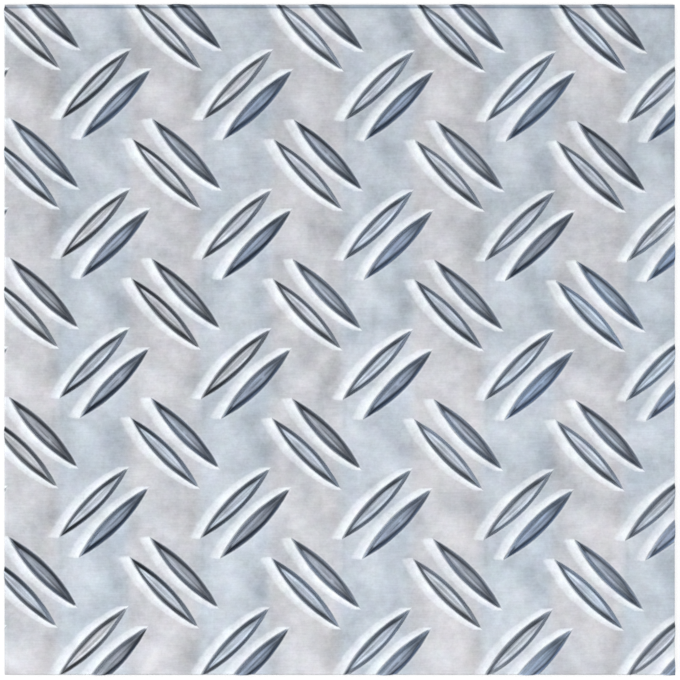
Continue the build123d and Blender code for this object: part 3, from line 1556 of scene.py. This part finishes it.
@dataclass(frozen=True)
class RimTones:
    """The face towards its sheared sides, with painted light along the rim and a painted dark bluish
    shade along the far side.

    The tones run along curves over the distance from the side, in millimetres.
    """

    # Painted light: the face is lighter along the pulled-over rim, on the sides other than the far one.
    tones: Stops = ((0.0, 1.15), (0.3, 1.3), (0.5, 1.27), (0.75, 1.03), (1.1, 0.98), (1.5, 1.0))
    # Painted shade: the face darkens and turns bluish along the far side.
    far_painted_shade: Stops = (
        (0.0, 0.7), (0.3, 0.88), (0.48, 0.86), (0.68, 0.6), (0.95, 0.56), (1.15, 0.74),
        (1.35, 0.93), (1.7, 0.96), (2.1, 1.0),
    )
    far_shade_tint: Colour = (0.72, 1.0, 1.3)
    far_ends: Span = (1.6, 2.6)
    # Painted shade: bars that reach the far side are darkened more there.
    darker_on_bars: float = 0.55
    darker_ends: Span = (1.6, 0.9)

    def light(self, place: Triple, on_bar: Level, half: Span) -> Triple:
        """How much of the light the face keeps.

        Args:
            place: The place on the sheet.
            on_bar: How much the place belongs to a bar, which the painted shade along the far side
                darkens more.
            half: Half the sheet's length and width.

        Returns:
            The share as a colour.
        """
        x, y, _ = place.parts()
        near = x.wiring.math("MINIMUM", half[0] - abs(x), half[1] - abs(y)) / MM
        far = (half[1] - y) / MM
        far_shade_level = far.curve(self.far_painted_shade)
        darker = 1.0 - on_bar * (far.ramp(*self.darker_ends) * self.darker_on_bars)
        far_shade = darker.tinted(far_shade_level.tinted(far_shade_level.mix(self.far_shade_tint, WHITE)))
        return far.ramp(*self.far_ends).mix(far_shade, near.curve(self.tones).tinted(WHITE))


@dataclass(frozen=True)
class MillFinish:
    """Bright rolled aluminium: soft tints on the flats, painted highlights on the aprons, rougher
    flanks with painted shade, streaked crowns with painted light.
    """

    pattern: Pattern
    bar: TreadBar
    half: Span
    flats: FlatTones = FlatTones()
    aprons: PaintedApronHighlight = PaintedApronHighlight()
    bars: BarTones = BarTones()
    rim: RimTones = RimTones()
    pearl: float = 0.15
    further_out_on_left: float = 0.3 * MM
    outline_edge: Span = (-0.3 * MM, -0.05 * MM)
    right_tip_ends: Span = (0.99, 0.93)
    roughness: Span = (0.27, 0.39)
    rougher_on_flanks: float = 0.12
    shoulder: Span = (0.7 * MM, 1.1 * MM)
    bump: Span = (0.15, 0.02 * MM)

    def material(self) -> bpy.types.Material:
        """Builds the finish of the sheet's face.

        Returns:
            The material.
        """
        metal = Metal.named("mill_finish")
        place, grain, wiring = metal.place, metal.grain, metal.place.wiring
        spot = OnBar.read(metal, self.bar, self.half)
        from_outline = spot.on_left * self.further_out_on_left + spot.inset
        on_bar = from_outline.ramp(*self.outline_edge) * spot.along.ramp(*self.right_tip_ends)
        # The flats' colour, with its painted light, and the aprons' painted highlight over it.
        colour = self.aprons.over(self.flats.colour(self.pattern, place, grain), grain)
        # The painted thin highlight along the bars' right feet.
        colour = self.flats.painted_foot_highlight(spot).tinted(colour)
        # The bars' colour, with its painted light and shade.
        colour = on_bar.mix(colour, self.bars.colour(spot, grain))
        colour = colour * grain.pearl.around_white(self.pearl)
        # The painted light and shade along the sheared sides.
        colour = colour * self.rim.light(place, on_bar, self.half)
        colour = wiring.vector_math("MINIMUM", colour, WHITE)
        on_flank = wiring.math("SUBTRACT", on_bar, spot.inset.ramp(*self.shoulder), clamp=True)
        rough = on_flank * self.rougher_on_flanks + grain.mottle.blend(*self.roughness)
        return metal.finished(colour, rough, grain.fine + grain.lines, self.bump)


@dataclass(frozen=True)
class ShearedFinish:
    """The cut walls: a bright band that the blade has wiped, and a dull torn band under it."""

    edge: ShearedEdge
    wiped: Colour = (0.62, 0.64, 0.68)
    torn: Colour = (0.42, 0.44, 0.47)
    wiped_starts: Span = (0.1 * MM, 0.3 * MM)
    uneven: float = 0.5 * MM
    scrape_size: float = 0.15 * MM
    scrape_drawn: Factors = (1.0, 1.0, 0.08)
    scrape_light: Span = (0.75, 1.25)
    roughness: Span = (0.5, 0.3)
    bump: Span = (0.4, 0.05 * MM)

    def material(self) -> bpy.types.Material:
        """Builds the finish of the sheet's walls.

        Returns:
            The material.
        """
        metal = Metal.named("sheared_edge")
        height = metal.grain.mottle * self.uneven + metal.place.parts()[2]
        is_wiped = height.ramp(*(self.edge.torn_top + start for start in self.wiped_starts))
        drawn = metal.place * self.scrape_drawn
        scrape = drawn.noise(self.scrape_size, detail=3, rough=0.5)
        colour = scrape.blend(*self.scrape_light).tinted(is_wiped.mix(self.torn, self.wiped))
        rough = is_wiped.blend(*self.roughness)
        return metal.finished(colour, rough, scrape + metal.grain.fine, self.bump)


@dataclass(frozen=True)
class BackFinish:
    """Plain rolled aluminium: the smooth roll leaves soft clouds and fine lines along the sheet."""

    colour: Colour = (0.57, 0.592, 0.628)
    line_size: float = 0.7 * MM
    line_drawn: Factors = (0.03, 1.0, 0.0)
    line_light: float = 0.22
    cloud_light: float = 0.14
    grain_light: float = 0.12
    roughness: Span = (0.27, 0.37)
    bump: Span = (0.15, 0.02 * MM)

    def material(self) -> bpy.types.Material:
        """Builds the finish of the sheet's back.

        Returns:
            The material.
        """
        metal = Metal.named("rolled_back")
        grain, drawn = metal.grain, metal.place * self.line_drawn
        rolled = drawn.noise(self.line_size, detail=4, rough=0.6)
        light = grain.cloud.around(rolled.around(1.0, self.line_light), self.cloud_light)
        light = grain.fine.around(light, self.grain_light)
        rough = grain.mottle.blend(*self.roughness)
        return metal.finished(light.tinted(self.colour), rough, rolled, self.bump)


@dataclass
class Studio:
    """The pale floor, the soft light and the camera.

    Args:
        low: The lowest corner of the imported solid.
        high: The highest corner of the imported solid.
        face_height: The height of the sheet's flat face.
    """

    low: Vector
    high: Vector
    face_height: float
    picture: int = 680
    sheet_left: float = 4.5
    sheet_right: float = 674.8
    camera_distance: float = 0.72
    sensor: float = 36.0
    floor_half: float = 4.0
    floor_sink: float = 0.02 * MM
    floor_colour: Colour = (0.85, 0.85, 0.85)
    floor_roughness: float = 0.9
    floor_glow: float = 0.4
    dome: float = 1.0
    horizon_ends: Span = (0.1, 0.9)
    far_horizon: float = 0.16
    side_horizon: float = 0.7
    lean_to_near_side: float = 0.15
    lean_to_left: float = 0.12
    horizon_lean_to_far_side: float = 0.2
    lamp_size: float = 1.2
    lamp_energy: float = 3.0
    lamp_place: tuple[float, float, float] = (-1.9, 0.2, 1.1)

    def camera(self) -> None:
        """Puts the camera straight above, at a lens that fits the sheet as the picture shows it."""
        per_pixel = (self.high.x - self.low.x) / (self.sheet_right - self.sheet_left)
        off_centre = (self.picture / 2 - (self.sheet_left + self.sheet_right) / 2) * per_pixel
        data = bpy.data.cameras.new("camera")
        data.sensor_width = self.sensor
        data.lens = self.sensor * self.camera_distance / (self.picture * per_pixel)
        camera = bpy.data.objects.new("camera", data)
        camera.location = (off_centre, -off_centre, self.face_height + self.camera_distance)
        bpy.context.scene.collection.objects.link(camera)
        bpy.context.scene.camera = camera

    def floor(self) -> None:
        """Lays the floor, which looks white to the camera and to the metal and keeps the shadow."""
        half = self.floor_half
        mesh = bpy.data.meshes.new("floor")
        corners = [(-half, -half), (half, -half), (half, half), (-half, half)]
        mesh.from_pydata([(x, y, self.low.z - self.floor_sink) for x, y in corners], [], [(0, 1, 2, 3)])
        material = bpy.data.materials.new("pale_floor")
        material.use_nodes = True
        wiring = Wiring(material.node_tree)
        path = wiring.add("LightPath").outputs
        rays = ("Is Camera Ray", "Is Glossy Ray", "Is Transmission Ray")
        camera, glossy, through = (Level(wiring, path[name]) for name in rays)
        seen = wiring.math("ADD", camera + glossy, through, clamp=True)
        looks = {
            "Base Color": self.floor_colour,
            "Roughness": self.floor_roughness,
            "Specular IOR Level": 0.0,
            "Emission Color": WHITE,
            "Emission Strength": seen * self.floor_glow,
        }
        for name, value in looks.items():
            wiring.put(value, material.node_tree.nodes["Principled BSDF"].inputs[name])
        mesh.materials.append(material)
        floor = bpy.data.objects.new("floor", mesh)
        bpy.context.scene.collection.objects.link(floor)

    def sky(self) -> None:
        """Lights the sheet from all round with a soft dome that darkens towards the horizon."""
        world = bpy.data.worlds.new("dome")
        bpy.context.scene.world = world
        world.use_nodes = True
        wiring = Wiring(world.node_tree)
        x, y, z = Triple(wiring, wiring.add("TexCoord").outputs["Generated"]).parts()
        horizon = (x * x).blend(self.far_horizon, self.side_horizon)
        horizon = horizon * (y * self.horizon_lean_to_far_side + 1.0)
        overhead = x * -self.lean_to_left + (y * -self.lean_to_near_side + 1.0)
        sky = z.ramp(*self.horizon_ends).blend(horizon, overhead)
        background = world.node_tree.nodes["Background"]
        wiring.put(WHITE, background.inputs["Color"])
        wiring.put(sky * self.dome, background.inputs["Strength"])

    def lamp(self) -> None:
        """Hangs a large round lamp to the left, turned to the sheet."""
        data = bpy.data.lights.new("soft_lamp", "AREA")
        data.shape, data.size, data.energy = "DISK", self.lamp_size, self.lamp_energy
        lamp = bpy.data.objects.new("soft_lamp", data)
        lamp.location = self.lamp_place
        lamp.rotation_euler = (-Vector(self.lamp_place)).to_track_quat("-Z", "Y").to_euler()
        bpy.context.scene.collection.objects.link(lamp)

    def build(self) -> None:
        """Builds the camera, the floor and the light."""
        self.camera()
        self.floor()
        self.sky()
        self.lamp()


def main() -> None:
    """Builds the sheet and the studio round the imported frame."""
    logging.basicConfig(level=logging.INFO, format="%(name)s: %(message)s")
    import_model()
    low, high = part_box(NODE)
    sheet = TreadSheet(low, high)
    dressed = sheet.build()
    dressed.data.calc_loop_triangles()
    log.info("%s: %d triangles", dressed.name, len(dressed.data.loop_triangles))
    Studio(low, high, sheet.face_height).build()
    bpy.context.scene.view_settings.view_transform = "Standard"


if __name__ == "__main__":
    main()
